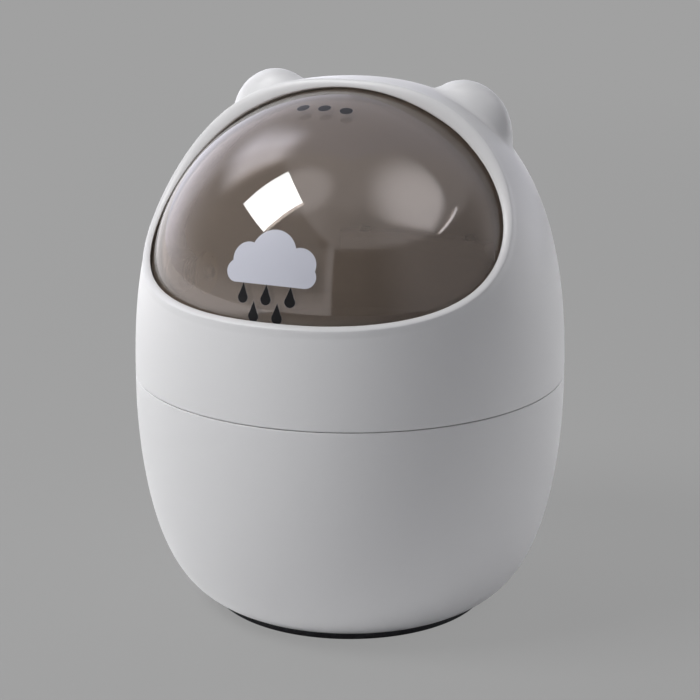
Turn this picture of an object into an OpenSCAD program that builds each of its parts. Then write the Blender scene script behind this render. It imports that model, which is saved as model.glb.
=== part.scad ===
// Push top countertop bin: a round bucket, a domed hood with a slanted opening,
// and a smoked spherical visor that rolls back under the hood on two side pivots.
// Millimetres, +Z up, front towards -Y, origin under the centre of the base pad.

/* [Body] */
// Widest outside radius of bucket and hood
body_r = 82.5; // [80:0.5:85]
// Height of the widest level above the table
belly_z = 84.7; // [82:0.1:87]
// Rise of the hood's crown above the widest level
crown_rise = 117.3; // [115:0.1:120]
// Fullness of the hood's curve, where 2 is an ellipse
hood_power = 2.54; // [2.4:0.02:2.7]
// Depth of the bucket's curve below the widest level
bucket_drop = 86; // [85:0.5:88]
// Fullness of the bucket's wall, seen along its height
bucket_power_z = 1.87; // [1.8:0.01:2]
// Fullness of the bucket's wall, seen across its width
bucket_power_r = 6; // [5:0.5:7]
// Height of the parting line between bucket and hood
seam_z = 91; // [89:0.5:93]
// Wall of the bucket and of the hood
wall = 2.4; // [2:0.1:2.6]
// Thickness of the bucket's floor
floor_t = 3; // [2:0.5:4]

/* [Base pad] */
// Radius of the non-slip pad
pad_r = 54; // [45:0.5:54]
// Thickness of the non-slip pad
pad_t = 3.5; // [2:0.5:4]

/* [Hood opening] */
// How far the opening's middle faces upwards, in degrees above the horizon
opening_tilt = 59.4; // [56:0.1:61]
// Mean half angle of the opening, seen from the middle of the widest level
opening_angle = 37.2; // [34:0.1:38]
// Extra half angle towards the sides
opening_widen = 8; // [5:0.1:9]
// Correction that makes the lower edge fuller
opening_sag = 0.95; // [0:0.05:1.5]
// Correction that squares the outline a little
opening_square = 0.9; // [0:0.1:2]
// Correction that flattens the middle of the lower edge
opening_flatten = 0.35; // [0:0.05:1]
// Direction in which the opening is cut, in degrees above the horizon
cut_tilt = 50; // [45:1:55]

/* [Ears] */
// Sideways distance of each ear from the middle plane
ear_x = 38.5; // [36:0.5:42]
// Distance of the ears behind the pivot axis
ear_y = 19; // [14:0.5:22]
// Height of each ear's middle
ear_z = 183; // [180:0.5:184]
// Radius of each ear
ear_r = 17.5; // [15:0.5:18]
// Half the thickness of each ear
ear_half_t = 10; // [8:0.5:11]

/* [Visor] */
// Height of the visor's pivot axis
pivot_z = 122; // [121:0.5:123]
// Outside radius of the visor
visor_r = 76.4; // [75.5:0.1:76.4]
// Wall of the visor
visor_wall = 2; // [1.6:0.1:2.4]
// Angle of the visor's front edge above the horizon, when shut
visor_front_angle = -7; // [-8:0.5:-5]
// Angle of the visor's rear edge, past the crown, when shut
visor_rear_angle = 104; // [100:0.5:106]
// How far the visor turns from shut to open
visor_travel = 70; // [50:1:70]
// Radius of the round eye at each end of the visor
eye_r = 11; // [10:0.5:12]

/* [Pivots] */
// Radius of the hood's pivot bosses
boss_r = 4; // [3.5:0.1:4.5]
// Running clearance between boss and visor hub, on the radius
running_gap = 0.05; // [0.02:0.01:0.1]
// Outside radius of the visor's hubs
hub_r = 8.4; // [8.2:0.1:8.6]
// Wire thickness of the return springs
wire_d = 0.8; // [0.6:0.1:0.9]
// Turns in each return spring
spring_turns = 4; // [3:1:4]

/* [Bag ring] */
// Outside radius of the bag ring
ring_r = 78.6; // [77:0.1:78.6]
// Height of the bag ring's lower edge
ring_z = 69.8; // [69.8:0.1:70]
// Height of the bag ring
ring_h = 10.6; // [9:0.2:10.6]

/* [Hidden] */
gap = 0.3;
smooth = 120;
seat_r = 79.3;
skirt_t = 2;
skirt_depth = 9;
skirt_root_t = 1.6;
skirt_root_h = 7;
hood_foot_h = 6;
body_centre = [0, 0, belly_z];
ledge_h = 2.4;
ring_t = 1.8;
ring_flange = 4.2;
visor_in_r = visor_r - visor_wall;
boss_seat_x = 77.2;
boss_end_x = 62.4;
boss_root_x = 79.2;
boss_root_spread = 1.5;
washer_t = 1;
washer_play = 0.05;
washer_rim = 0.5;
washer_x = boss_seat_x - washer_t - washer_play;
hub_out_x = washer_x - washer_play;
hub_recess = 0.6;
hub_in_x = 69.6;
spring_play = 0.9;
spring_r = boss_r + spring_play + wire_d / 2;
spring_pitch = 1.25;
spring_start_gap = 0.5;
spring_x = hub_in_x - spring_start_gap - wire_d / 2;
spring_sides = 6;
spring_rings = 8;
spring_leg = 4;
spring_hook = 2;
hook_hole_r = 0.55;
retainer_r = 8.6;
retainer_t = 1.6;
screw_r = 1.2;
screw_hole_r = 1.25;
screw_head_r = 3;
screw_head_t = 2;
screw_l = 10.6;
screw_tip = 1;
screw_slot_w = 0.8;
screw_slot_l = 3.4;
rail_half_angle = 26;
rail_t = 2.4;
bumper_r = 2.2;
bumper_t = 1.8;
bumper_inset = 1.6;
bumper_azimuth = 18;

// Outside of the hood as [radius, height], from 0 at the widest level to 90 at the crown
function hood_point(t) = [
    body_r * pow(cos(t), 2 / hood_power),
    belly_z + crown_rise * pow(sin(t), 2 / hood_power)
];

// Outward direction of the hood's outside at the same place
function hood_normal(t) =
    let (
        across = pow(cos(t), 2 - 2 / hood_power) / body_r,
        along = pow(sin(t), 2 - 2 / hood_power) / crown_rise
    )
    [across, along] / norm([across, along]);

function hood_inner(t) = hood_point(t) - wall * hood_normal(t);

// Angle at which the hood's outside reaches a height
function hood_angle(z) = asin(pow((z - belly_z) / crown_rise, hood_power / 2));

// Radius of the outside of the body at a height
function body_radius(z) = z > belly_z
    ? hood_point(hood_angle(z))[0]
    : body_r * pow(
        1 - pow((belly_z - z) / bucket_drop, bucket_power_z),
        1 / bucket_power_r);

// Radius of the inside of the body at a height, one wall in from the outside
function inside_radius(z) =
    let (slope = (body_radius(z + 0.1) - body_radius(z - 0.1)) / 0.2)
    body_radius(z) - wall * sqrt(1 + slope * slope);

// Distance from the body's centre to the hood's outside, in a given direction
function hood_reach(d) = pow(
    pow(norm([d[0], d[1]]) / body_r, hood_power)
    + pow(max(d[2], 0) / crown_rise, hood_power),
    -1 / hood_power);

// Half angle of the opening at an angle round it, 0 at the right and 90 at the top
function opening_half_angle(a) = opening_angle
    + opening_widen * cos(2 * a)
    + opening_sag * sin(3 * a)
    + opening_square * cos(4 * a)
    + opening_flatten * sin(5 * a);

// Point of the opening's edge on the hood's outside
function opening_point(a) =
    let (
        spread = opening_half_angle(a),
        middle = [0, -cos(opening_tilt), sin(opening_tilt)],
        up = [0, sin(opening_tilt), cos(opening_tilt)],
        d = middle * cos(spread) + ([cos(a), 0, 0] + up * sin(a)) * sin(spread)
    )
    body_centre + d * hood_reach(d);

// The same point seen along the cutting direction, as [sideways, upwards]
function opening_outline(a) =
    let (
        p = opening_point(a) - [0, 0, pivot_z],
        up = [0, sin(cut_tilt), cos(cut_tilt)]
    )
    [p[0], p * up];

// Turned shape laid along +X, drawn as [distance along X, radius] points
module turned_along_x(points) {
    rotate([0, 90, 0])
        rotate_extrude($fn = 48)
            polygon([for (p = points) [p[1], p[0]]]);
}

// Rod or tube along +X between two places
module rod_along_x(from, to, outer, inner = 0) {
    turned_along_x([[from, inner], [to, inner], [to, outer], [from, outer]]);
}

// Whatever is made for the right side, or its mirror image on the left
module on_side(side) {
    if (side > 0) children();
    else mirror([1, 0, 0]) children();
}

module bucket() {
    step = 3;
    low = pad_t;
    inner_low = pad_t + floor_t;
    levels = [for (z = [low : 1.5 : 14]) z];
    upper_levels = [for (z = [16 : step : seam_z - 1]) z];
    outer_z = concat(levels, upper_levels, [seam_z]);
    inner_z = concat([for (z = [inner_low : 1.5 : 14]) z], upper_levels, [seam_z]);
    color("whitesmoke") {
        difference() {
            rotate_extrude($fn = smooth)
                polygon(concat(
                    [[0, low]],
                    [for (z = outer_z) [body_radius(z), z]],
                    [[0, seam_z]]));
            rotate_extrude($fn = smooth)
                polygon(concat(
                    [[0, inner_low]],
                    [for (z = inner_z) [inside_radius(z), z]],
                    [[inside_radius(seam_z), seam_z + 1], [0, seam_z + 1]]));
        }
        bag_ledge();
    }
}

// Small bead inside the bucket that the bag ring rests on
module bag_ledge() {
    high = ring_z - 0.1;
    bite = 1;
    rotate_extrude($fn = smooth)
        polygon([
            [inside_radius(high) + bite, high - 2 * ledge_h],
            [ring_r - ring_t, high - ledge_h / 2],
            [ring_r - ring_t, high],
            [inside_radius(high) + bite, high]
        ]);
}

module base_pad() {
    chamfer = 0.6;
    color("dimgray")
        rotate_extrude($fn = smooth)
            polygon([
                [0, 0], [pad_r - chamfer, 0], [pad_r, chamfer],
                [pad_r, pad_t], [0, pad_t]
            ]);
}

module bag_ring() {
    top = ring_z + ring_h;
    color("gainsboro")
        rotate_extrude($fn = smooth)
            polygon([
                [ring_r - ring_t, ring_z], [ring_r, ring_z], [ring_r, top],
                [ring_r - ring_flange, top], [ring_r - ring_flange, top - ring_t],
                [ring_r - ring_t, top - ring_t]
            ]);
}

module hood_shell() {
    low = seam_z + gap;
    inner_low = seam_z + hood_foot_h;
    steps = 20;
    t0 = hood_angle(low);
    t1 = hood_angle(inner_low);
    rotate_extrude($fn = smooth)
        polygon(concat(
            [for (i = [0 : steps]) hood_point(t0 + (90 - t0) * i / steps)],
            [for (i = [steps : -1 : 0]) hood_inner(t1 + (90 - t1) * i / steps)],
            [hood_inner(t0)]));
    rotate_extrude($fn = smooth)
        polygon([
            [seat_r - skirt_t, seam_z - skirt_depth],
            [seat_r, seam_z - skirt_depth],
            [seat_r, low],
            [seat_r + skirt_root_t, low],
            [seat_r + skirt_root_t, low + skirt_root_h],
            [seat_r - skirt_t, low + skirt_t]
        ]);
}

// Lens of an ear, standing up and facing the front: the overlap of two balls
module ear(r, half_t) {
    ball_r = (r * r + half_t * half_t) / (2 * half_t);
    intersection() {
        translate([0, half_t - ball_r, 0]) sphere(ball_r, $fn = 96);
        translate([0, ball_r - half_t, 0]) sphere(ball_r, $fn = 96);
    }
}

module ears(shrink) {
    for (side = [-1, 1])
        translate([side * ear_x, ear_y, ear_z])
            ear(ear_r - shrink, ear_half_t - shrink);
}

// Inside space of the hood, used to hollow the ears without touching the wall
module hood_inside() {
    steps = 20;
    low = seam_z + hood_foot_h;
    t1 = hood_angle(low);
    rotate_extrude($fn = smooth)
        polygon(concat(
            [[0, low]],
            [for (i = [0 : steps]) hood_inner(t1 + (90 - t1) * i / steps)]));
}

// Prism that cuts the slanted opening
module opening_cutter() {
    points = 64;
    start = 26;
    reach = 100;
    translate([0, 0, pivot_z])
        rotate([90 - cut_tilt, 0, 0])
            translate([0, 0, start])
                linear_extrude(reach)
                    polygon([for (i = [0 : points - 1]) opening_outline(360 * i / points)]);
}

// Curved rail inside the hood, reaching from the wall in to a given radius
module rail(azimuth, inner, high) {
    outer = inside_radius(high) + wall / 2;
    rotate([0, 0, azimuth - rail_half_angle])
        rotate_extrude(angle = 2 * rail_half_angle, $fn = smooth)
            polygon([
                [inner, high - rail_t], [outer, high - rail_t - (outer - inner)],
                [outer, high], [inner, high]
            ]);
}

// Heights of the rails, one bumper below the visor's edge at each end of its travel
edge_r = visor_r * cos(bumper_azimuth);
front_rail_z = pivot_z + edge_r * sin(visor_front_angle) - gap - bumper_t;
rear_rail_z = pivot_z + edge_r * sin(visor_rear_angle + visor_travel) - gap - bumper_t;
rail_inner_r = visor_r - bumper_inset - bumper_r - 0.5;

module pivot_boss() {
    difference() {
        union() {
            rod_along_x(boss_end_x, boss_seat_x + 1, boss_r);
            turned_along_x([
                [boss_seat_x, 0], [boss_seat_x, hub_r],
                [boss_root_x, hub_r + boss_root_spread], [boss_root_x, 0]
            ]);
        }
        rod_along_x(boss_end_x - 1, boss_end_x + screw_l + screw_tip, screw_hole_r);
    }
}

module hood() {
    color("white")
        difference() {
            union() {
                difference() {
                    union() {
                        hood_shell();
                        difference() {
                            ears(0);
                            hood_inside();
                        }
                    }
                    ears(wall);
                }
                for (side = [-1, 1])
                    on_side(side)
                        translate([0, 0, pivot_z])
                            pivot_boss();
                rail(-90, rail_inner_r, front_rail_z);
                rail(90, rail_inner_r, rear_rail_z);
            }
            opening_cutter();
        }
}

// Wedge between the visor's two edges, seen from the side
module visor_wedge() {
    far = 2 * visor_r;
    rotate([90, 0, 90])
        translate([0, 0, -far])
            linear_extrude(2 * far)
                polygon([
                    [0, 0],
                    [-far * cos(visor_front_angle), far * sin(visor_front_angle)],
                    [-far, far],
                    [far, far],
                    [-far * cos(visor_rear_angle), far * sin(visor_rear_angle)]
                ]);
}

module visor() {
    color([0.42, 0.38, 0.35, 0.6])
        translate([0, 0, pivot_z])
            difference() {
                union() {
                    difference() {
                        sphere(visor_r, $fn = 200);
                        sphere(visor_in_r, $fn = 200);
                        difference() {
                            cube(4 * visor_r, center = true);
                            visor_wedge();
                            rod_along_x(-visor_r, visor_r, eye_r);
                        }
                    }
                    for (side = [-1, 1])
                        on_side(side)
                            rod_along_x(hub_in_x, hub_out_x - hub_recess, hub_r);
                }
                for (side = [-1, 1])
                    on_side(side) {
                        rod_along_x(hub_in_x - 1, visor_r + 1, boss_r + running_gap);
                        rod_along_x(hub_out_x, visor_r + 1, hub_r + washer_rim);
                        translate([0, -spring_leg, spring_r])
                            rod_along_x(hub_in_x - 1, hub_in_x + spring_hook, hook_hole_r);
                    }
            }
}

module slip_washer(side) {
    color("ivory")
        on_side(side)
            translate([0, 0, pivot_z])
                rod_along_x(washer_x, washer_x + washer_t, hub_r - washer_rim, boss_r + running_gap);
}

// Centre line of a return spring: each end is a straight leg with a short hook
function spring_line() =
    let (
        count = spring_turns * spring_rings,
        coil = [for (i = [0 : count])
            let (a = 360 * i / spring_rings)
            [spring_x - spring_pitch * i / spring_rings,
             spring_r * sin(a), spring_r * cos(a)]],
        front = coil[0] + [0, -spring_leg, 0],
        rear = coil[count] + [0, spring_leg, 0]
    )
    concat(
        [front + [spring_hook, 0, 0], front],
        coil,
        [rear, rear - [spring_hook, 0, 0]]);

// Direction of a line at one of its points
function line_direction(points, i) =
    let (d = points[min(i + 1, len(points) - 1)] - points[max(i - 1, 0)])
    d / norm(d);

// Six-sided tube along a line of points
module wire(points, d) {
    count = len(points);
    rings = [for (i = [0 : count - 1])
        let (
            along = line_direction(points, i),
            across = cross(along, [0, 0.6, 0.8]),
            up = across / norm(across),
            side = cross(up, along)
        )
        for (k = [0 : spring_sides - 1])
            points[i] + d / 2 * (up * cos(360 * k / spring_sides)
                               + side * sin(360 * k / spring_sides))];
    last = (count - 1) * spring_sides;
    walls = [for (i = [0 : count - 2]) for (k = [0 : spring_sides - 1])
        let (a = i * spring_sides + k, b = i * spring_sides + (k + 1) % spring_sides)
        each [[a, b, b + spring_sides], [a, b + spring_sides, a + spring_sides]]];
    ends = concat(
        [for (k = [1 : spring_sides - 2]) [0, k + 1, k]],
        [for (k = [1 : spring_sides - 2]) [last, last + k, last + k + 1]]);
    polyhedron(rings, concat(walls, ends));
}

module return_spring(side) {
    color("silver")
        on_side(side)
            translate([0, 0, pivot_z])
                wire(spring_line(), wire_d);
}

// Least distance between the surfaces of two turns of a spring, one turn apart
spring_points = spring_line();
spring_self_gap = min([
    for (i = [2 : len(spring_points) - 3 - spring_rings / 2])
        for (j = [i + spring_rings / 2 : len(spring_points) - 3])
            norm(spring_points[i] - spring_points[j]) - wire_d
]);
echo("least gap of a return spring to itself", spring_self_gap);

module spring_retainer(side) {
    color("ivory")
        on_side(side)
            translate([0, 0, pivot_z])
                difference() {
                    rod_along_x(boss_end_x - retainer_t, boss_end_x, retainer_r);
                    rod_along_x(boss_end_x - retainer_t - 1, boss_end_x + 1, screw_hole_r);
                    translate([0, spring_leg, spring_r])
                        rod_along_x(boss_end_x - retainer_t - 1, boss_end_x + 1, hook_hole_r);
                }
}

module pivot_screw(side) {
    head_x = boss_end_x - retainer_t;
    color("silver")
        on_side(side)
            translate([0, 0, pivot_z])
                difference() {
                    turned_along_x([
                        [head_x - screw_head_t, 0],
                        [head_x - screw_head_t, screw_head_r - 0.8],
                        [head_x - screw_head_t + 0.8, screw_head_r],
                        [head_x, screw_head_r],
                        [head_x, screw_r],
                        [head_x + screw_l, screw_r],
                        [head_x + screw_l + screw_tip, 0]
                    ]);
                    for (turn = [0, 90])
                        rotate([turn, 0, 0])
                            translate([head_x - screw_head_t - 1, -screw_slot_l / 2, -screw_slot_w / 2])
                                cube([2, screw_slot_l, screw_slot_w]);
                }
}

// Pair of soft pads on a rail
module bumpers(azimuth, high) {
    color("darkgray")
        for (side = [-1, 1])
            rotate([0, 0, azimuth + side * bumper_azimuth])
                translate([visor_r - bumper_inset, 0, high])
                    rotate_extrude($fn = 48)
                        polygon([
                            [0, 0], [bumper_r, 0], [bumper_r, bumper_t - 0.5],
                            [bumper_r - 0.5, bumper_t], [0, bumper_t]
                        ]);
}

bucket();
base_pad();
bag_ring();
hood();
visor();
slip_washer(-1);  // left_slip_washer
slip_washer(1);  // right_slip_washer
return_spring(-1);  // left_return_spring
return_spring(1);  // right_return_spring
spring_retainer(-1);  // left_spring_retainer
spring_retainer(1);  // right_spring_retainer
pivot_screw(-1);  // left_pivot_screw
pivot_screw(1);  // right_pivot_screw
bumpers(-90, front_rail_z);  // front_bumpers
bumpers(90, rear_rail_z);  // rear_bumpers
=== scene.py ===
import bmesh
import bpy
import numpy as np
from mathutils import Matrix


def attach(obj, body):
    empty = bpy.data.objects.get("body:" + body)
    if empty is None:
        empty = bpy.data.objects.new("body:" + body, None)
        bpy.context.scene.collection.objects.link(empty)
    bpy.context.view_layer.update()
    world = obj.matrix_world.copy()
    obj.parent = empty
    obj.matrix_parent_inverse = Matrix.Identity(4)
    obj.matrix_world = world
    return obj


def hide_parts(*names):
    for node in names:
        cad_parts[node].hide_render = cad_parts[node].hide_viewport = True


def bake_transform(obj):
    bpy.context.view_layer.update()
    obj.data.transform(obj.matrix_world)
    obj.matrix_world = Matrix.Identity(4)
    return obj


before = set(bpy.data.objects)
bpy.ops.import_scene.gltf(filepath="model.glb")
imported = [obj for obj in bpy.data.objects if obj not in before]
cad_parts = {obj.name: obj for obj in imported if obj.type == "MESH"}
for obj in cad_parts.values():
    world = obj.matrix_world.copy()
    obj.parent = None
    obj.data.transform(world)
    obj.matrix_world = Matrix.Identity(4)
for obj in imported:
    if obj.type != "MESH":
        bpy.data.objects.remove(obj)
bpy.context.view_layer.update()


# Bucket
# A deep egg-shaped cup, injection moulded in white plastic with a satin gloss. Its mouth is a
# plain rounded edge at the parting line, and a bead inside carries the bag ring.
# Sizes are in millimetres here and in every section, and piece() stores them in metres.
MM = 0.001
# The crown is 0.3 mm lower than the CAD's, so that the opening's raised lip stays in its box.
body_r = 82.5
belly_z = 84.7
crown_rise = 117.0
hood_power = 2.54
bucket_drop = 86.0
bucket_power_z = 1.87
bucket_power_r = 6.0
seam_z = 91.0
wall = 2.4
pad_t = 3.5
floor_t = 3.0
ring_z = 69.8
ring_play = 0.1
bead_r = 76.8
bead_h = 1.4
white_plastic = (0.73, 0.73, 0.735, 1.0)


class Wire:
    """One output of a shader node. Arithmetic on wires and numbers adds Math nodes."""

    def __init__(self, finish, socket):
        self.finish = finish
        self.socket = socket

    def math(self, operation, *values):
        """A Math node of that operation on this wire and the values."""
        sockets = dict(enumerate((self,) + values))
        return self.finish.node("ShaderNodeMath", {"operation": operation}, sockets)

    def __add__(self, other):
        return self.math("ADD", other)

    def __sub__(self, other):
        return self.math("SUBTRACT", other)

    def __mul__(self, other):
        return self.math("MULTIPLY", other)

    def __truediv__(self, other):
        return self.math("DIVIDE", other)

    def __pow__(self, other):
        return self.math("POWER", other)

    def __rsub__(self, other):
        return self * -1.0 + other

    __radd__ = __add__
    __rmul__ = __mul__


class Finish:
    """The shader of one material, or of the room."""

    def __init__(self, owner):
        self.owner = owner
        owner.use_nodes = True
        self.tree = owner.node_tree
        self.tree.nodes.clear()

    def node(self, kind, settings, sockets, output=0):
        """A node of that kind with its settings made first, then its sockets set or linked."""
        made = self.tree.nodes.new(kind)
        for key, value in settings.items():
            setattr(made, key, value)
        for key, value in sockets.items():
            if isinstance(value, Wire):
                self.tree.links.new(value.socket, made.inputs[key])
            else:
                made.inputs[key].default_value = value
        return Wire(self, made.outputs[output]) if made.outputs else None

    def place(self):
        """The point on the piece, in metres, which turns and moves with the piece."""
        return self.node("ShaderNodeTexCoord", {}, {}, "Object")

    def noise(self, scale, detail=2.0):
        """Soft noise from 0 to 1, with scale blotches to the metre."""
        return self.node(
            "ShaderNodeTexNoise", {}, {"Vector": self.place(), "Scale": scale, "Detail": detail}
        )

    def shade(self, factor, first, second):
        """Colour from first at factor 0 to second at factor 1."""
        return self.node("ShaderNodeMix", {"data_type": "RGBA"}, {0: factor, 6: first, 7: second}, 2)

    def bump(self, height, distance):
        """Normal of a surface raised by height, from 0 to 1, times distance in millimetres."""
        return self.node("ShaderNodeBump", {}, {"Height": height, "Distance": distance * MM})

    def along(self, place, way):
        """How far a place lies along a direction."""
        return self.node("ShaderNodeVectorMath", {"operation": "DOT_PRODUCT"}, {0: place, 1: way}, 1)

    def rise(self, value, low, high):
        """0 below low and 1 above high, with a soft step between them."""
        sockets = {"Value": value, "From Min": low, "From Max": high}
        return self.node("ShaderNodeMapRange", {"interpolation_type": "SMOOTHSTEP"}, sockets)

    def done(self, surface):
        """Puts the surface on the output and gives the material."""
        self.node("ShaderNodeOutputMaterial", {}, {"Surface": surface})
        return self.owner


def new_finish(name):
    """The empty shader of a new material."""
    return Finish(bpy.data.materials.new(name))


def moulded_white(name, colour, roughness, grain):
    """White moulded plastic: a faint fine grain, slow waves in the gloss, and hardly any mottling."""
    finish = new_finish(name)
    fine = finish.noise(1400.0, 3.0)
    slow = finish.noise(45.0)
    mottle = finish.noise(18.0, 3.0)
    darker = tuple(0.965 * c for c in colour[:3]) + (1.0,)
    height = fine * grain + slow * (1.0 - grain)
    return finish.done(
        finish.node(
            "ShaderNodeBsdfPrincipled",
            {},
            {
                "Base Color": finish.shade(mottle, darker, colour),
                "Roughness": roughness + (fine - 0.5) * 0.10 + (slow - 0.5) * 0.08,
                "Normal": finish.bump(height, 0.03),
                "Specular IOR Level": 0.35,
            },
        )
    )


def egg_radius(z):
    """Outside radius of the body at a height. Above the belly it is a superellipse of power 2.54,
    below it the wall falls in with power 1.87 along the height and 6 across."""
    rise = np.clip((z - belly_z) / crown_rise, 0.0, 1.0)
    fall = np.clip((belly_z - z) / bucket_drop, 0.0, 1.0)
    above = (1.0 - rise**hood_power) ** (1.0 / hood_power)
    below = (1.0 - fall**bucket_power_z) ** (1.0 / bucket_power_r)
    return body_r * np.where(z > belly_z, above, below)


def inside_radius(z):
    """Inside radius of the body: the outside less one wall, measured square to the surface."""
    slope = (egg_radius(z + 0.1) - egg_radius(z - 0.1)) / 0.2
    return egg_radius(z) - wall * np.sqrt(1.0 + slope**2)


def rounded(points, radii, steps=6):
    """Outline through the points, with each corner that has a radius replaced by a round arc:
    a quadratic curve with the middle weight of a circle, from one tangent length before it."""
    points = np.asarray(points, float)
    parts = []
    for i, radius in enumerate(radii):
        corner = points[i]
        if radius == 0:
            parts.append(corner[None])
            continue
        back = points[i - 1] - corner
        ahead = points[(i + 1) % len(points)] - corner
        back = back / np.linalg.norm(back)
        ahead = ahead / np.linalg.norm(ahead)
        half = np.arccos(np.clip(back @ ahead, -1.0, 1.0)) / 2.0
        reach = radius / np.tan(half)
        parts.append(bend(corner + back * reach, corner, corner + ahead * reach, steps, np.sin(half)))
    return np.concatenate(parts)


def bend(start, corner, end, steps, weight=0.7071):
    """Points of a curve from start to end that leans towards corner: a weighted quadratic curve.
    It works on one corner or on an array of corners, and the steps are the first axis."""
    t = np.linspace(0.0, 1.0, steps + 1).reshape((-1,) + (1,) * np.ndim(corner))
    first, middle, last = (1.0 - t) ** 2, 2.0 * weight * t * (1.0 - t), t**2
    return (first * start + middle * corner + last * end) / (first + middle + last)


def turned(profile, columns):
    """Surface of revolution: each (radius, height) goes round the upright axis in equal steps."""
    angle = np.linspace(0.0, 2.0 * np.pi, columns, endpoint=False)
    radius, height = profile[:, :1], profile[:, 1:]
    flat = np.ones_like(angle)
    return np.stack([radius * np.cos(angle), radius * np.sin(angle), height * flat], axis=-1)


def skin(points, wrap_rows=False, wrap_columns=True):
    """The grid of points with its four-sided faces, joined end to end where a direction wraps."""
    rows, columns = points.shape[:2]
    i = np.arange(rows if wrap_rows else rows - 1)[:, None]
    j = np.arange(columns if wrap_columns else columns - 1)[None, :]
    next_i, next_j = (i + 1) % rows * columns, (j + 1) % columns
    corners = np.broadcast_arrays(i * columns + j, i * columns + next_j, next_i + next_j, next_i + j)
    return points.reshape(-1, 3), np.stack(corners, axis=-1).reshape(-1, 4)


def piece(name, skins, material, sharp=38.0):
    """One object made of skins, with doubled points merged and its faces turned outwards."""
    starts = np.cumsum([0] + [len(points) for points, _ in skins])
    points = np.concatenate([points for points, _ in skins]) * MM
    faces = np.concatenate([quads + start for (_, quads), start in zip(skins, starts)])
    mesh = bpy.data.meshes.new(name)
    mesh.from_pydata(points.tolist(), [], faces.tolist())
    work = bmesh.new()
    work.from_mesh(mesh)
    bmesh.ops.remove_doubles(work, verts=work.verts, dist=0.002 * MM)
    bmesh.ops.dissolve_degenerate(work, edges=work.edges, dist=0.001 * MM)
    bmesh.ops.recalc_face_normals(work, faces=work.faces)
    work.to_mesh(mesh)
    work.free()
    mesh.shade_smooth()
    mesh.set_sharp_from_angle(angle=np.radians(sharp))
    mesh.materials.append(material)
    made = bpy.data.objects.new(name, mesh)
    bpy.context.scene.collection.objects.link(made)
    return made


bead_z = ring_z - ring_play
bead_root_z = 65.6
inner_floor_z = pad_t + floor_t
outer_z = np.concatenate([np.linspace(5.0, 20.0, 26), np.linspace(21.0, seam_z - 2.0, 60)])
upper_z = np.linspace(seam_z - 2.0, bead_z + 2.0, 16)
lower_z = np.concatenate([np.linspace(bead_root_z - 2.0, 20.0, 34), np.linspace(19.0, 8.6, 16)])


def at_radius(radius, heights):
    """Profile points (radius, height) for a function of height."""
    return np.stack([radius(heights), heights], axis=-1)


def at_corners(*corners):
    """Profile points for a few corners."""
    return np.array(corners, float)


bucket_parts = [
    (at_corners((0.0, pad_t), (50.0, pad_t)), 0.0),
    (at_corners((float(egg_radius(pad_t)), pad_t)), 1.6),
    (at_radius(egg_radius, outer_z), 0.0),
    (at_corners((float(egg_radius(seam_z)), seam_z)), 0.3),
    (at_corners((float(inside_radius(seam_z)), seam_z)), 0.6),
    (at_radius(inside_radius, upper_z), 0.0),
    (at_corners((float(inside_radius(bead_z)), bead_z)), 0.5),
    (at_corners((bead_r, bead_z), (bead_r, bead_z - bead_h)), 0.5),
    (at_corners((float(inside_radius(bead_root_z)), bead_root_z)), 1.2),
    (at_radius(inside_radius, lower_z), 0.0),
    (at_corners((float(inside_radius(inner_floor_z + 0.6)), inner_floor_z)), 2.0),
    (at_corners((40.0, inner_floor_z), (0.0, inner_floor_z)), 0.0),
]
bucket_profile = rounded(
    np.concatenate([points for points, _ in bucket_parts]),
    np.concatenate([np.full(len(points), radius) for points, radius in bucket_parts]),
)
shell_white = moulded_white("shell_white", white_plastic, 0.35, 0.35)
bucket = piece("bucket_shell", [skin(turned(bucket_profile, 240))], shell_white)
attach(bucket, "bin")
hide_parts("bucket")


# Base pad
# A round non-slip disc of dark foam rubber, die cut and stuck under the bucket. It stands
# 3.5 mm high and shows as a thin dark crescent.
pad_r = 54.0


def dark_foam(name, colour):
    """Dark foam rubber: small open cells, a dry matt face and a few paler specks of dust."""
    finish = new_finish(name)
    cells = finish.node(
        "ShaderNodeTexVoronoi", {"feature": "F1"}, {"Vector": finish.place(), "Scale": 1300.0}
    )
    dust = ((finish.noise(260.0, 4.0) - 0.56) * 2.0).math("MAXIMUM", 0.0)
    pale = tuple(2.4 * c for c in colour[:3]) + (1.0,)
    return finish.done(
        finish.node(
            "ShaderNodeBsdfPrincipled",
            {},
            {
                "Base Color": finish.shade(dust, colour, pale),
                "Roughness": 0.78 + cells * 0.18,
                "Normal": finish.bump(cells, 0.12),
            },
        )
    )


pad_profile = rounded(
    [(0.0, 0.0), (30.0, 0.0), (pad_r, 0.0), (pad_r, pad_t), (0.0, pad_t)], [0, 0, 0.7, 0.5, 0]
)
pad_foam = dark_foam("pad_foam", (0.032, 0.032, 0.035, 1.0))
pad = piece("non_slip_pad", [skin(turned(pad_profile, 180))], pad_foam)
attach(pad, "bin")
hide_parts("base_pad")


# Bag ring
# A loose ring of matt white plastic that drops on the bucket's bead and traps the bag's edge
# between itself and the wall. Its top turns in as a flange to lift it by.
ring_r = 78.6
ring_h = 10.6
ring_t = 1.8
ring_flange = 4.2
ring_top = ring_z + ring_h
ring_profile = rounded(
    [
        (ring_r - ring_t, ring_z),
        (ring_r, ring_z),
        (ring_r, ring_top),
        (ring_r - ring_flange, ring_top),
        (ring_r - ring_flange, ring_top - ring_t),
        (ring_r - ring_t, ring_top - ring_t),
    ],
    [0.4, 0.4, 0.8, 0.7, 0.7, 0.6],
)
ring = piece(
    "bag_clamp_ring",
    [skin(turned(ring_profile, 200), wrap_rows=True)],
    moulded_white("ring_white", (0.70, 0.70, 0.69, 1.0), 0.46, 0.7),
)
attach(ring, "ring")
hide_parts("bag_ring")


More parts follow.
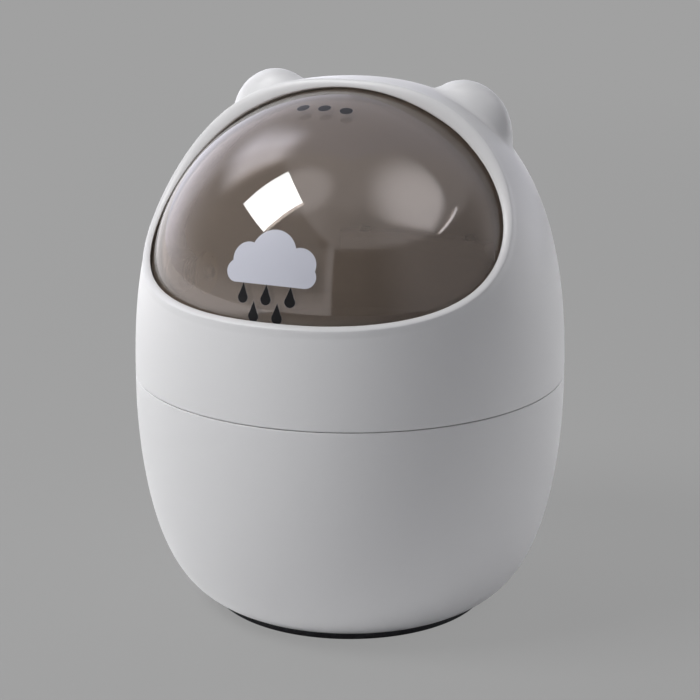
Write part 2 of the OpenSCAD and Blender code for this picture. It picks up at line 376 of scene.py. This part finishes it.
# Hood
# One moulded shell: the upper half of the egg with two small round ears, a wide slanted
# opening with a thick soft edge, and a skirt that drops inside the bucket's mouth.
# Inside, it carries two pivot bosses for the visor and two short rails for its bumpers.
gap = 0.3
opening_tilt = 59.4
opening_angle = 37.2
opening_widen = 8.0
opening_sag = 0.95
opening_square = 0.9
opening_flatten = 0.35
ear_place = np.array([38.5, 18.7, 180.5])
ear_size = np.array([19.0, 10.0, 20.8])
ear_blend = 2.0
# At the opening the skin rises to a low lip, bends over a bevel and falls to the visor. The wall
# is as thick there as the room above the visor asks for, up to a limit, and thins out behind.
lip_h = 0.3
lip_fade = 3.0
bevel_least = 1.6
bevel_share = 0.2
edge_depth = 0.85
edge_fullness = 0.45
edge_fade = 12.0
edge_wall_most = 5.3
edge_back = 1.2
edge_distance = 100.0
visor_clear = 0.6
visor_r = 76.4
pivot_z = 122.0
hood_columns = 288
skirt_r = 79.3
skirt_in_r = 77.3
skirt_low_z = 82.0
centre = np.array([0.0, 0.0, belly_z])


def smaller(a, b, blend):
    """The smaller of two distances, with the crease between them filled over a width of blend."""
    share = np.clip(0.5 + 0.5 * (b - a) / blend, 0.0, 1.0)
    return b + (a - b) * share - blend * share * (1.0 - share)


def shell_distance(points):
    """Height above the hood's skin. The egg's part is the distance from its centre less the
    superellipse's reach that way. Each ear's is that of an ellipsoid, and both are blended."""
    from_centre = points - centre
    across = np.hypot(from_centre[..., 0], from_centre[..., 1]) / body_r
    upward = np.maximum(from_centre[..., 2], 0.0) / crown_rise
    ratio = (across**hood_power + upward**hood_power) ** (1.0 / hood_power)
    length = np.linalg.norm(from_centre, axis=-1)
    egg = length - length / np.maximum(ratio, 1e-6)
    mirrored = np.concatenate([np.abs(points[..., :1]), points[..., 1:]], axis=-1)
    from_ear = (mirrored - ear_place) / ear_size
    k0 = np.linalg.norm(from_ear, axis=-1)
    k1 = np.linalg.norm(from_ear / ear_size, axis=-1)
    ear = k0 * (k0 - 1.0) / np.maximum(k1, 1e-6)
    return smaller(egg, ear, ear_blend)


def on_shell(directions, inset=0.0):
    """Points at a given depth under the hood's skin, along directions from the belly's centre.
    The distance along each is found by halving the stretch in which the skin is crossed."""
    low = np.full(directions.shape[:-1], 50.0)
    high = np.full(directions.shape[:-1], 150.0)
    for _ in range(30):
        middle = (low + high) / 2.0
        outside = shell_distance(centre + directions * middle[..., None]) > -inset
        high = np.where(outside, middle, high)
        low = np.where(outside, low, middle)
    return centre + directions * high[..., None]


def unit(vectors):
    """The vectors at length one."""
    return vectors / np.linalg.norm(vectors, axis=-1, keepdims=True)


def between(first, second, shares):
    """Directions on the great circle from first to second, at each share of the way."""
    angle = np.arccos(np.clip((first * second).sum(-1, keepdims=True), -1.0, 1.0))
    shares = shares.reshape(-1, 1, 1)
    return (np.sin((1.0 - shares) * angle) * first + np.sin(shares * angle) * second) / np.sin(angle)


def opening_direction(angle):
    """Direction of the opening's edge from the belly's centre. It leans from the opening's own
    axis by an angle in degrees, plus waves of 2 to 5 round it for width, sag, squareness and flat."""
    lean = opening_angle + opening_widen * np.cos(2 * angle) + opening_sag * np.sin(3 * angle)
    lean = lean + opening_square * np.cos(4 * angle) + opening_flatten * np.sin(5 * angle)
    lean = np.radians(lean)[:, None]
    tilt = np.radians(opening_tilt)
    axis = np.array([0.0, -np.cos(tilt), np.sin(tilt)])
    up = np.array([0.0, np.sin(tilt), np.cos(tilt)])
    sideways = np.array([1.0, 0.0, 0.0])
    round_it = np.cos(angle)[:, None] * sideways + np.sin(angle)[:, None] * up
    return axis * np.cos(lean) + round_it * np.sin(lean)


def shell_normal(points):
    """Outward normal of the hood's skin, from the slope of the distance along each axis."""
    steps = 0.2 * np.eye(3)
    slopes = [shell_distance(points + s) - shell_distance(points - s) for s in steps]
    return unit(np.stack(slopes, axis=-1))


def soft_share(distance, full, reach):
    """1 up to a distance of full, falling in a soft step to 0 a further reach away."""
    share = np.clip((full + reach - distance) / reach, 0.0, 1.0)
    return share**2 * (3.0 - 2.0 * share)


def seen_at(radius, height):
    """Directions from the belly's centre to a level circle on the hood."""
    return unit(radius * ring_way + np.array([0.0, 0.0, height - belly_z]))


angle = np.linspace(0.0, 2.0 * np.pi, hood_columns, endpoint=False)
ring_way = np.stack([np.cos(angle), np.sin(angle), np.zeros(hood_columns)], axis=-1)
hood_low = seam_z + gap
inner_foot_z = 98.0
visor_middle = np.array([0.0, 0.0, pivot_z])
edge = on_shell(opening_direction(angle))
edge_up = shell_normal(edge)
edge_along = unit(np.roll(edge, -1, axis=0) - np.roll(edge, 1, axis=0))
edge_away = np.cross(edge_along, edge_up)
edge_wall = np.linalg.norm(edge - visor_middle, axis=-1) - visor_r - visor_clear
edge_wall = np.clip(edge_wall, wall, edge_wall_most)
edge_width = (bevel_least + bevel_share * (edge_wall - wall))[:, None]
edge_way = unit(edge + edge_away * edge_width - centre)
outer_ways = unit(between(seen_at(body_r, hood_low + 0.6), edge_way, np.linspace(0.0, 1.0, 120)))
outer = on_shell(outer_ways)
lip = lip_h * soft_share(np.linalg.norm(outer - edge, axis=-1), edge_width[:, 0], lip_fade)
outer = outer + outer_ways * lip[..., None]
corner = edge + edge_up * lip_h
cut_top = edge - edge_up * edge_wall[:, None] * edge_depth
cut_low = edge - edge_up * edge_wall[:, None]
inner_start_way = unit(edge + edge_away * edge_back - centre)
inner_foot_way = seen_at(float(inside_radius(inner_foot_z)), inner_foot_z)
inner_ways = unit(between(inner_start_way, inner_foot_way, np.linspace(0.0, 1.0, 60)))
from_edge = np.linalg.norm(inner_ways - inner_start_way, axis=-1) * edge_distance
inner = on_shell(inner_ways, wall + (edge_wall - wall) * soft_share(from_edge, 0.0, edge_fade))
foot_profile = rounded(
    [
        (inside_radius(inner_foot_z), inner_foot_z),
        (skirt_in_r, 93.3),
        (skirt_in_r, skirt_low_z),
        (skirt_r, skirt_low_z),
        (skirt_r, hood_low),
        (float(egg_radius(hood_low)), hood_low),
        (float(egg_radius(hood_low)), hood_low + 2.0),
    ],
    [0, 1.2, 0.6, 0.6, 0.5, 0.3, 0],
)[1:-1]
foot = foot_profile[:, :1, None] * ring_way + foot_profile[:, 1:, None] * np.array([0.0, 0.0, 1.0])
hood_rows = np.concatenate(
    [
        outer,
        bend(outer[-1], corner, cut_top, 14, edge_fullness)[1:-1],
        bend(cut_top, cut_low, inner[0], 6),
        inner[1:],
        foot,
    ]
)

boss_r = 4.0
boss_end_x = 62.4
boss_seat_x = 77.2
boss_root_x = 79.2
hub_r = 8.4
screw_hole_r = 1.25
screw_hole_x = 74.0


def turned_sideways(profile, columns, side):
    """Surface of revolution round the visor's axis, from (place along the axis, radius) points,
    on the right for side 1 and mirrored on the left for side -1."""
    upright = turned(np.asarray(profile)[:, ::-1], columns)
    return np.stack([side * upright[..., 2], upright[..., 0], upright[..., 1] + pivot_z], axis=-1)


def on_rail(azimuth, profile, half_angle=26.0):
    """A closed (radius, height) profile carried round the upright axis through an arc, with both
    ends drawn in to their middle."""
    turn = np.radians(azimuth + np.linspace(-half_angle, half_angle, 40))
    way = np.stack([np.cos(turn), np.sin(turn), np.zeros(40)], axis=-1)
    swept = profile[:, None, :1] * way + profile[:, None, 1:] * np.array([0.0, 0.0, 1.0])
    ends = [np.broadcast_to(swept[:, i].mean(axis=0), (len(profile), 3)) for i in (0, -1)]
    return np.concatenate([ends[0][:, None], swept, ends[1][:, None]], axis=1)


boss_profile = rounded(
    [
        (screw_hole_x, 0.0),
        (screw_hole_x, screw_hole_r),
        (boss_end_x, screw_hole_r),
        (boss_end_x, boss_r),
        (boss_seat_x, boss_r),
        (boss_seat_x, hub_r),
        (boss_root_x, hub_r + 1.5),
        (boss_root_x, 0.0),
    ],
    [0, 0, 0.2, 0.3, 0, 0.3, 0, 0],
)
bumper_azimuth = 18.0
bumper_t = 1.8
rail_t = 2.4
rail_in_r = 72.1
edge_r = visor_r * np.cos(np.radians(bumper_azimuth))
rail_places = [(-90.0, -7.0), (90.0, 174.0)]
hood_skins = [skin(hood_rows, wrap_rows=True)]
hood_skins += [skin(turned_sideways(boss_profile, 48, side)) for side in (-1, 1)]
for rail_azimuth, stop_angle in rail_places:
    high = pivot_z + edge_r * np.sin(np.radians(stop_angle)) - gap - bumper_t
    root_r = float(inside_radius(high)) + wall / 2.0
    rail_profile = rounded(
        [
            (rail_in_r, high - rail_t),
            (root_r, high - rail_t - (root_r - rail_in_r)),
            (root_r, high),
            (rail_in_r, high),
        ],
        [0.5, 0, 0, 0.5],
    )
    hood_skins.append(skin(on_rail(rail_azimuth, rail_profile), wrap_rows=True, wrap_columns=False))
hood = piece("hood_shell", hood_skins, shell_white)
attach(hood, "hood")
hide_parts("hood")


# Visor
# A two-millimetre slice of a sphere in clear smoke-tinted plastic, polished on both faces. It
# ends in a round eye with a hub at each side and turns on the hood's bosses.
# A small printed cloud with rain drops sits low on its front, and three dots near its top.
visor_wall = 2.0
front_angle = -7.0
rear_angle = 104.0
eye_r = 11.0
bore_r = 4.05
hub_in_x = 69.6
hub_out_x = 74.2
fillet_angle = 30.0
fillet_reach = 4.5
mirror_least = 0.08
smoke_haze = 0.19
smoke_tint = (0.85, 0.79, 0.745, 1.0)
smoke_body = (0.38, 0.315, 0.25, 1.0)
print_pale = (0.60, 0.61, 0.68, 1.0)
print_black = (0.006, 0.006, 0.007, 1.0)


def on_ball(lean, turn, radius):
    """Point of a ball round the visor's middle, at an angle lean from the right end of its axis
    and turned up from the front by turn, both in degrees."""
    lean, turn = np.broadcast_arrays(np.radians(lean), np.radians(turn))
    around = radius * np.sin(lean)
    return np.stack(
        [radius * np.cos(lean), -around * np.cos(turn), around * np.sin(turn) + pivot_z], axis=-1
    )


bore_lean = np.degrees(np.arcsin(bore_r / visor_r))
eye_lean = np.degrees(np.arcsin(eye_r / visor_r))
leans = np.concatenate(
    [
        np.linspace(eye_lean, eye_lean + fillet_reach, 12)[:-1],
        np.linspace(eye_lean + fillet_reach, 180.0 - eye_lean - fillet_reach, 110),
        np.linspace(180.0 - eye_lean - fillet_reach, 180.0 - eye_lean, 12)[1:],
    ]
)
from_eye = np.minimum(leans - eye_lean, 180.0 - eye_lean - leans)
flare = fillet_angle * np.clip(1.0 - from_eye / fillet_reach, 0.0, 1.0) ** 2
across = np.linspace(0.0, 1.0, 97)
lune_turns = (front_angle - flare)[:, None] * (1.0 - across) + (rear_angle + flare)[:, None] * across
rest_turns = np.linspace(rear_angle + fillet_angle, 360.0 + front_angle - fillet_angle, 61)[1:-1]
eye_turns = np.concatenate([lune_turns[0], rest_turns])
eye_leans = np.linspace(bore_lean, eye_lean, 8)[:, None]
visor_skins = [
    skin(on_ball(leans[:, None], lune_turns, visor_r), wrap_columns=False),
    skin(on_ball(eye_leans, eye_turns, visor_r)),
    skin(on_ball(180.0 - eye_leans, eye_turns, visor_r)),
]


def smoked_clear(name):
    """Clear smoked plastic with a print on its outer face. Light passes tinted at each face, some
    is mirrored by a Fresnel law that rises with the fifth power of the facing angle, and masks
    drawn in the flat of the print swap the clear plastic for opaque ink."""
    finish = new_finish(name)
    facing = finish.node("ShaderNodeLayerWeight", {}, {"Blend": 0.5}, "Facing")
    mirror = mirror_least + facing**5.0 * (1.0 - mirror_least)
    waves = finish.bump(finish.noise(26.0), 0.05)
    clear = finish.node("ShaderNodeBsdfTransparent", {}, {"Color": smoke_tint})
    body = finish.node("ShaderNodeBsdfDiffuse", {}, {"Color": smoke_body})
    gloss = finish.node("ShaderNodeBsdfGlossy", {}, {"Roughness": 0.02, "Normal": waves})
    smoke = finish.node("ShaderNodeMixShader", {}, {0: smoke_haze, 1: clear, 2: body})
    glass = finish.node("ShaderNodeMixShader", {}, {0: mirror, 1: smoke, 2: gloss})

    def flat_of_print(elevation):
        """Sideways, upward and outward places in millimetres, in a plane square to a direction
        that points forward and that many degrees up from the visor's middle."""
        tilt = np.radians(elevation)
        moved = finish.node(
            "ShaderNodeVectorMath",
            {"operation": "SUBTRACT"},
            {0: finish.place(), 1: (0.0, 0.0, pivot_z * MM)},
        )
        upward = (0.0, np.sin(tilt), np.cos(tilt))
        outward = (0.0, -np.cos(tilt), np.sin(tilt))
        return [finish.along(moved, way) / MM for way in ((1.0, 0.0, 0.0), upward, outward)]

    def inside(distance):
        """1 where a distance in millimetres is below zero, fading over 0.15 mm."""
        return finish.rise(distance * -1.0, -0.07, 0.08)

    def disc(x, y, radius):
        """Distance outside a disc of the print."""
        return (x * x + y * y) ** 0.5 - radius

    sideways, upward, out = flat_of_print(17.5)
    bumps = disc(sideways + 8.5, upward - 4.0, 6.0)
    bumps = bumps.math("MINIMUM", disc(sideways - 1.0, upward - 6.5, 8.5))
    bumps = bumps.math("MINIMUM", disc(sideways - 11.0, upward - 3.5, 6.0))
    slab_x = ((sideways - 0.5).math("ABSOLUTE") - 13.0).math("MAXIMUM", 0.0)
    cloud = inside(bumps.math("MINIMUM", disc(slab_x, upward + 0.5, 4.0)))

    def row(places, count, spacing):
        """Repeats a place sideways so that count copies stand in a row, with a mask for them."""
        shifted = places + spacing * (count - 1) / 2.0 + spacing / 2.0
        within = shifted.math("FLOORED_MODULO", spacing) - spacing / 2.0
        return within, inside(places.math("ABSOLUTE") - spacing * count / 2.0)

    black = inside(out)
    for count, level in ((3, -9.6), (2, -15.8)):
        within, in_row = row(sideways, count, 9.0)
        above = upward - level
        ball = disc(within, above, 2.0)
        tip = (within.math("ABSOLUTE") - 2.0 * (1.0 - above / 5.4)).math("MAXIMUM", above * -1.0)
        black = black.math("MAXIMUM", inside(ball.math("MINIMUM", tip)) * in_row)
    side_top, up_top, out_top = flat_of_print(72.0)
    within, in_row = row(side_top, 3, 8.5)
    dots = inside(disc(within, up_top, 2.4)) * in_row * inside(out_top * -1.0)
    front = inside(out * -1.0)
    length = (sideways * sideways + upward * upward + out * out) ** 0.5
    outer_face = inside(visor_r - 0.5 - length)
    black = (black * front).math("MAXIMUM", dots) * outer_face
    printed = (cloud * front * outer_face).math("MAXIMUM", black)
    ink = finish.node(
        "ShaderNodeBsdfPrincipled",
        {},
        {
            "Base Color": finish.shade(black, print_pale, print_black),
            "Roughness": 0.3,
            "Specular IOR Level": 0.2,
        },
    )
    return finish.done(finish.node("ShaderNodeMixShader", {}, {0: printed, 1: glass, 2: ink}))


visor_smoke = smoked_clear("visor_smoke")
visor = piece("smoked_visor", visor_skins, visor_smoke)
thickness = visor.modifiers.new("wall", "SOLIDIFY")
thickness.thickness = visor_wall * MM
thickness.offset = -1.0
softened = visor.modifiers.new("edges", "BEVEL")
softened.width = 0.35 * MM
softened.segments = 2
softened.limit_method = "ANGLE"
softened.angle_limit = np.radians(45.0)
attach(visor, "visor")
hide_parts("visor")
hub_profile = rounded(
    [(hub_in_x, bore_r), (hub_in_x, hub_r), (hub_out_x, hub_r), (hub_out_x, bore_r)], [0.3, 0.5, 0, 0]
)
for side, name in ((-1, "left"), (1, "right")):
    hub = piece(
        f"{name}_visor_hub",
        [skin(turned_sideways(hub_profile, 64, side), wrap_rows=True)],
        visor_smoke,
    )
    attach(hub, "visor")


# Slip washers and spring retainers
# Small turned rings of natural nylon. The washers run between hub and hood, and the retainers
# hold the springs on the bosses under the screw heads.
def nylon(name):
    """Natural nylon: warm off-white with a faint waxy mottling and fine turning marks."""
    finish = new_finish(name)
    marks = finish.noise(900.0)
    waxy = finish.shade(finish.noise(160.0), (0.74, 0.70, 0.60, 1.0), (0.83, 0.80, 0.72, 1.0))
    return finish.done(
        finish.node(
            "ShaderNodeBsdfPrincipled",
            {},
            {
                "Base Color": waxy,
                "Roughness": 0.38 + marks * 0.12,
                "Normal": finish.bump(marks, 0.02),
                "Subsurface Weight": 0.1,
                "Subsurface Radius": (0.002, 0.0016, 0.0012),
            },
        )
    )


def refinish(node_names, material):
    """Gives CAD nodes that keep their shape a new material."""
    for name in node_names:
        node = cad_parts[name]
        for place in node.material_slots:
            place.material = material


refinish(
    ["left_slip_washer", "right_slip_washer", "left_spring_retainer", "right_spring_retainer"],
    nylon("natural_nylon"),
)


# Return springs
# Four turns of 0.8 mm spring wire round each boss, with a leg hooked in the visor's hub and
# another in the retainer, so that each spring winds up as the visor rolls back.
wire_r = 0.4
spring_r = 5.3
spring_start_x = 68.7
spring_end_x = 63.7
spring_turns = 4
spring_leg = 4.0
spring_hook = 2.0


def along_path(path, radii, sides):
    """A round tube: rings of points square to the path. Each ring's first direction is the last
    one's with its part along the path taken out, so that the tube doesn't twist."""
    ahead = unit(np.gradient(path, axis=0))
    first = [unit(np.cross(ahead[0], (0.3, 0.5, 0.8)))]
    for way in ahead[1:]:
        first.append(unit(first[-1] - (first[-1] @ way) * way))
    first = np.array(first)
    second = np.cross(ahead, first)
    turn = np.linspace(0.0, 2.0 * np.pi, sides, endpoint=False)[None, :, None]
    ring = first[:, None] * np.cos(turn) + second[:, None] * np.sin(turn)
    return path[:, None] + radii[:, None, None] * ring


def spring_steel(name):
    """Drawn steel wire: bright metal with fine streaks in its roughness and a thin oil bloom."""
    finish = new_finish(name)
    streaks = finish.noise(1200.0, 3.0)
    bloom = finish.shade(finish.noise(500.0), (0.42, 0.42, 0.44, 1.0), (0.60, 0.60, 0.61, 1.0))
    return finish.done(
        finish.node(
            "ShaderNodeBsdfPrincipled",
            {},
            {
                "Base Color": bloom,
                "Metallic": 1.0,
                "Roughness": 0.24 + streaks * 0.18,
            },
        )
    )


wire_steel = spring_steel("spring_wire")
coil_turn = np.linspace(0.0, 2.0 * np.pi * spring_turns, 32 * spring_turns + 1)
coil_x = np.linspace(spring_start_x, spring_end_x, len(coil_turn))
coil = np.stack([coil_x, spring_r * np.sin(coil_turn), spring_r * np.cos(coil_turn)], axis=-1)
first_leg = coil[0] + np.array([[spring_hook, -spring_leg, 0.0], [0.0, -spring_leg, 0.0]])
last_leg = coil[-1] + np.array([[0.0, spring_leg, 0.0], [-spring_hook, spring_leg, 0.0]])
spring_points = np.concatenate([first_leg, coil, last_leg])
spring_bends = np.zeros(len(spring_points))
spring_bends[[1, -2]] = 0.9
spring_path = rounded(spring_points, spring_bends)
spring_path = np.concatenate([spring_path[:1], spring_path, spring_path[-1:]])
spring_path[0, 0] += 0.01
spring_path[-1, 0] -= 0.01
spring_radii = np.full(len(spring_path), wire_r)
spring_radii[[0, -1]] = 0.0
for side, name in ((-1, "left"), (1, "right")):
    tube = along_path(spring_path, spring_radii, 12) * np.array([side, 1.0, 1.0])
    tube = tube + np.array([0.0, 0.0, pivot_z])
    spring = piece(f"{name}_torsion_spring", [skin(tube)], wire_steel)
    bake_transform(spring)
    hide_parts(f"{name}_return_spring")


# Pivot screws
# Zinc-plated cross-slotted screws, one driven into the end of each boss to hold the retainer.
def zinc(name):
    """Zinc plating: bright metal with small cloudy grains and a faint warm cast."""
    finish = new_finish(name)
    grains = finish.node("ShaderNodeTexVoronoi", {}, {"Vector": finish.place(), "Scale": 900.0})
    return finish.done(
        finish.node(
            "ShaderNodeBsdfPrincipled",
            {},
            {
                "Base Color": finish.shade(grains, (0.52, 0.52, 0.50, 1.0), (0.68, 0.68, 0.66, 1.0)),
                "Metallic": 1.0,
                "Roughness": 0.30 + finish.noise(300.0) * 0.16,
            },
        )
    )


refinish(["left_pivot_screw", "right_pivot_screw"], zinc("zinc_plate"))


# Bumpers
# Two pairs of soft grey rubber buttons, stuck on the hood's rails, on which the visor's edge
# comes to rest at each end of its travel.
bumper_rubber = dark_foam("bumper_rubber", (0.16, 0.16, 0.165, 1.0))
refinish(["front_bumpers", "rear_bumpers"], bumper_rubber)


# Studio
# A pale floor, a square window light at the upper left, a dim panel behind the bin at each side,
# and a grey room. Glossy faces mirror a room drawn with soft steps in azimuth and elevation.
# None of it belongs to the bin.
camera_distance = 0.7324
camera_height = 0.31195
camera_turn = np.radians(23.0)
camera_pitch = np.radians(16.35)
floor_r = 6.0
room_grey = (0.356, 0.356, 0.356, 1.0)
room_shade = (0.145, 0.145, 0.158, 1.0)
room_lilac = (0.945, 0.94, 1.06, 1.0)
room_tint = (1.0, 0.965, 0.99, 1.0)
dome = np.array([0.0, 0.0, pivot_z * MM])


def towards(azimuth, elevation):
    """Direction from the dome, with azimuth measured from the camera's side to its right."""
    turn = camera_turn + np.radians(azimuth)
    rise = np.radians(elevation)
    return np.array([np.sin(turn) * np.cos(rise), -np.cos(turn) * np.cos(rise), np.sin(rise)])


floor_profile = at_corners((0.0, 0.0), (0.5, 0.0), (1.0, 0.0), (2.5, 0.0), (floor_r, 0.0)) / MM
floor_finish = new_finish("floor_grey")
floor_seen = floor_finish.node("ShaderNodeLightPath", {}, {}, "Is Camera Ray")
floor_mirrored = floor_finish.node("ShaderNodeLightPath", {}, {}, "Is Glossy Ray")
floor_place = floor_finish.place()
floor_far = floor_finish.node("ShaderNodeVectorMath", {"operation": "LENGTH"}, {0: floor_place}, 1)
# Glossy rays see the floor glow on the side of the left panel, rising from 0.3 m to 0.9 m out: a painted
# sheen, which only reflections show.
floor_sheen = floor_finish.rise(floor_finish.along(floor_place, towards(-125.0, 0.0)), 0.3, 0.9)
floor_colour = floor_finish.shade(floor_seen, (0.85, 0.85, 0.85, 1.0), (0.40, 0.40, 0.40, 1.0))
floor_lit = floor_finish.node("ShaderNodeBsdfDiffuse", {}, {"Color": floor_colour})
floor_even = floor_finish.node("ShaderNodeEmission", {}, {"Color": room_grey})
floor_glow = floor_finish.node("ShaderNodeEmission", {}, {"Color": room_tint, "Strength": 2.0})
floor_share = floor_seen * (0.82 + 0.18 * floor_finish.rise(floor_far, 0.35, 1.4))
floor_matt = floor_finish.node("ShaderNodeMixShader", {}, {0: floor_share, 1: floor_lit, 2: floor_even})
floor_shine = floor_mirrored * floor_sheen * 0.8
floor_mixed = floor_finish.node("ShaderNodeMixShader", {}, {0: floor_shine, 1: floor_matt, 2: floor_glow})
floor = piece("studio_floor", [skin(turned(floor_profile, 64))], floor_finish.done(floor_mixed))


def soft_panel(name, way, across, distance, size, radiance, mirrored):
    """A flat rectangular lamp that faces the dome, with its first side along across. Its power is
    its radiance times pi times its area, so that a mirror shows it at that radiance."""
    lamp = bpy.data.lights.new(name, "AREA")
    lamp.shape = "RECTANGLE"
    lamp.size, lamp.size_y = size
    lamp.energy = radiance * np.pi * size[0] * size[1]
    made = bpy.data.objects.new(name, lamp)
    bpy.context.scene.collection.objects.link(made)
    across = unit(across - (across @ way) * way)
    turn = Matrix(np.stack([across, np.cross(way, across), way], axis=-1).tolist())
    made.matrix_world = Matrix.Translation(dome + way * distance) @ turn.to_4x4()
    made.visible_camera = False
    made.visible_glossy = mirrored


soft_panel("window_light", towards(-69.7, 49.7), towards(92.4, 39.0), 1.2, (0.51, 0.48), 13.7, True)
soft_panel("left_panel", towards(-140.0, 9.0), towards(-50.0, 0.0), 1.3, (0.9, 1.1), 3.2, False)
soft_panel("right_panel", towards(116.0, 4.0), towards(26.0, 0.0), 1.3, (0.9, 0.4), 5.2, False)

world = bpy.data.worlds.new("grey_room")
bpy.context.scene.world = world
room = Finish(world)


def fall(value, full, end):
    """1 up to a value of full and 0 past end, with a soft step between them."""
    return room.rise(value * -1.0, -end, -full)


def band(value, start, full, falling, end):
    """1 from full to falling, with a soft step up from start and a soft step down to end."""
    return room.rise(value, start, full) * fall(value, falling, end)


look = room.node("ShaderNodeTexCoord", {}, {}, "Generated")
ahead, aside = room.along(look, towards(0.0, 0.0)), room.along(look, towards(90.0, 0.0))
azimuth = aside.math("ARCTAN2", ahead) / np.radians(1.0)
elevation = room.along(look, (0.0, 0.0, 1.0)).math("ARCSINE") / np.radians(1.0)
dark_left = band(azimuth, -135.0, -126.0, -17.0, -12.0) * room.rise(elevation, 2.0, 14.0)
left_top = 62.0 - (azimuth + 60.0).math("MAXIMUM", 0.0) * 0.5
dark_left = dark_left * room.rise(left_top - elevation, -2.0, 3.0)
dark_right = room.rise(azimuth, -12.0, -9.0) * fall(elevation, 33.0, 38.0)
right_fade = room.rise(azimuth, 12.0, 42.0) * 0.38 + room.rise(azimuth, 84.0, 126.0) * 0.62
dark_right = dark_right * (1.0 - right_fade)
middle_shade = band(azimuth, -30.0, -10.0, 12.0, 34.0) * band(elevation, 33.0, 38.0, 52.0, 64.0)
pale_patch = band(azimuth, -158.0, -132.0, -119.0, -106.0) * band(elevation, 27.0, 42.0, 54.0, 66.0)
soft_low = ((60.0 - azimuth) * 0.4).math("MAXIMUM", (azimuth - 60.0) * 0.3) + 36.0
soft_patch = room.rise(room.along(look, towards(67.0, 51.0)), 0.84, 1.0) ** 1.5
soft_patch = soft_patch * room.rise(elevation - soft_low, -2.0, 4.0)
soft_patch = soft_patch * room.rise(elevation * 1.35 - azimuth + 29.0, -3.0, 6.0)
glint = 0.95 - (elevation - azimuth * 0.16 - 24.0).math("ABSOLUTE")
glint = room.rise(glint, 0.0, 0.8) * band(azimuth, 62.0, 66.0, 86.0, 90.0)
window_halo = room.rise(room.along(look, towards(-57.0, 63.0)), 0.955, 0.99)
low_glow = fall(azimuth, -150.0, -90.0) * fall(elevation, 0.0, 40.0)
right_glow = band(azimuth, 86.0, 106.0, 122.0, 142.0) * fall(elevation, 12.0, 28.0)
# Only glossy rays see this light. Painted highlights, a painted glint and a painted halo are added to a
# level of 0.85, and painted shade is taken away.
seen_light = 0.85 + glint * 5.0 + soft_patch * 2.1 + pale_patch * 3.0
seen_light = seen_light + window_halo * 0.9 + low_glow * 1.1 + right_glow * 0.7
seen_light = seen_light - dark_left * 0.48 - dark_right * 0.75 - middle_shade * 0.22
seen_tint = room.shade(room.rise(azimuth.math("ABSOLUTE"), 100.0, 140.0), room_tint, room_lilac)
reflected = room.node("ShaderNodeLightPath", {}, {}, "Is Glossy Ray")
room_seen = room.node("ShaderNodeLightPath", {}, {}, "Is Camera Ray")
room_colour = room.shade(room_seen, room_shade, room_grey)
picture = room.node("ShaderNodeBackground", {}, {"Color": seen_tint, "Strength": seen_light})
plain = room.node("ShaderNodeBackground", {}, {"Color": room_colour})
room_light = room.node("ShaderNodeMixShader", {}, {0: reflected, 1: plain, 2: picture})
room.node("ShaderNodeOutputWorld", {}, {"Surface": room_light})

camera_data = bpy.data.cameras.new("camera")
camera_data.sensor_width = 36.0
camera_data.lens = 101.6
camera_data.clip_end = 20.0
camera = bpy.data.objects.new("camera", camera_data)
bpy.context.scene.collection.objects.link(camera)
camera.location = (
    camera_distance * np.sin(camera_turn),
    -camera_distance * np.cos(camera_turn),
    camera_height,
)
camera.rotation_euler = (np.pi / 2.0 - camera_pitch, 0.0, camera_turn)
bpy.context.scene.camera = camera
bpy.context.scene.view_settings.view_transform = "Standard"
